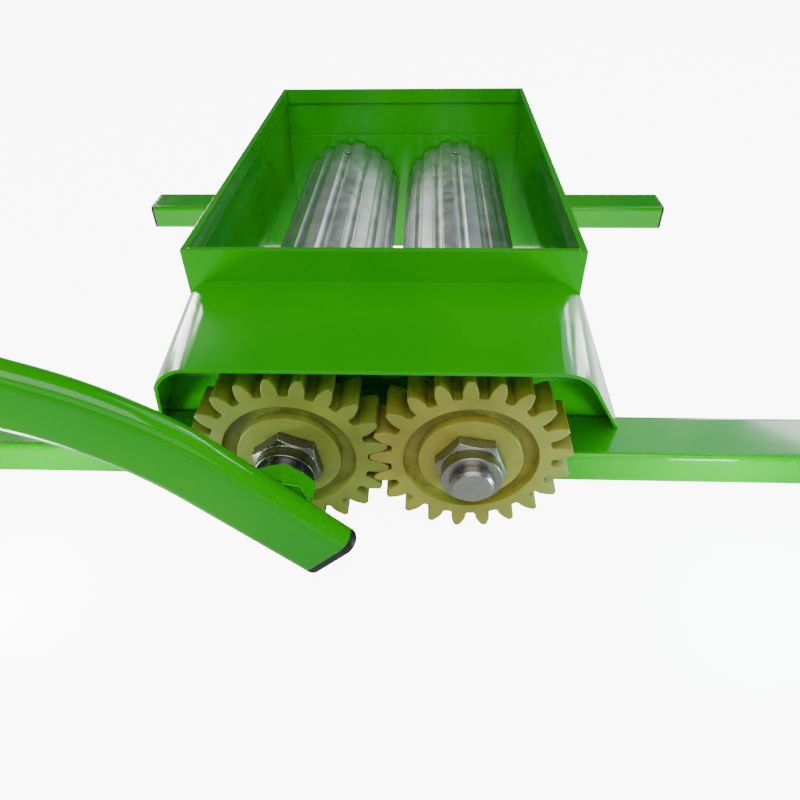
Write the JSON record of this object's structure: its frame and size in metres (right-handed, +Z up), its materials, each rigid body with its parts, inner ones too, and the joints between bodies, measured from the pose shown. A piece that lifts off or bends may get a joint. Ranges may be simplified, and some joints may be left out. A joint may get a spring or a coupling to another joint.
{
  "type": "hand-cranked roller fruit crusher",
  "caption": "Hand-cranked roller crusher: a sheet-steel hopper box on cross rails, geared ribbed rollers under a bent guard, and a crank.",
  "frame": {"origin": "middle of the crank-side rail's underside, where it rests on the rim of a vat", "axes": "+X along the rails to the right seen from the crank side, +Y from the crank side to the far side along the roller shafts, +Z up"},
  "size_m": [0.565, 0.6213, 0.1969],
  "materials": {
    "green_paint": "gloss green enamel on sheet steel and tube",
    "black_plastic": "moulded black plastic",
    "gear_nylon": "cast ivory nylon",
    "bright_steel": "plated steel",
    "turned_steel": "turned bright steel bar",
    "roller_alloy": "cast aluminium",
    "bronze": "sintered bronze"
  },
  "bodies": {
    "frame": {"rail_near": "green_paint", "rail_far": "green_paint", "rail_end_caps": "black_plastic", "end_wall_near": "green_paint", "end_wall_far": "green_paint", "side_wall_left": "green_paint", "side_wall_right": "green_paint", "bearing_plate_near": "green_paint", "bearing_plate_far": "green_paint", "gear_guard": "green_paint", "guard_backing_left": "green_paint", "guard_backing_right": "green_paint", "drive_bush_near": "bronze", "drive_bush_far": "bronze", "driven_bush_near": "bronze", "driven_bush_far": "bronze"},
    "drive": {"drive_shaft": "turned_steel", "drive_roller": "roller_alloy", "drive_roller_pins": "bright_steel", "drive_gear": "gear_nylon", "drive_gear_key": "bright_steel", "drive_nut": "bright_steel", "crank_boss": "green_paint", "crank_arm": "green_paint", "crank_tail_cap": "black_plastic", "crank_tip_cap": "black_plastic", "handle_bolt": "bright_steel", "handle_nut": "bright_steel", "handle_washers": "bright_steel"},
    "driven": {"driven_shaft": "turned_steel", "driven_roller": "roller_alloy", "driven_roller_pins": "bright_steel", "driven_gear": "gear_nylon", "driven_gear_key": "bright_steel", "driven_nut": "bright_steel"},
    "grip": {"handle_grip": "black_plastic"}
  },
  "joints": [
    {"name": "drive_spin", "type": "hinge", "parent": "frame", "child": "drive", "pos_m": [-0.0525, 0, 0.051], "axis": [0, 1, 0], "continuous": true},
    {"name": "driven_spin", "type": "hinge", "parent": "frame", "child": "driven", "pos_m": [0.0525, 0, 0.051], "axis": [0, 1, 0], "continuous": true},
    {"name": "grip_spin", "type": "hinge", "parent": "drive", "child": "grip", "pos_m": [-0.21683, -0.1589, 0.15155], "axis": [0, 1, 0], "continuous": true}
  ],
  "couplings": [
    {"joint": "driven_spin", "follows": "drive_spin", "ratio": -1}
  ]
}
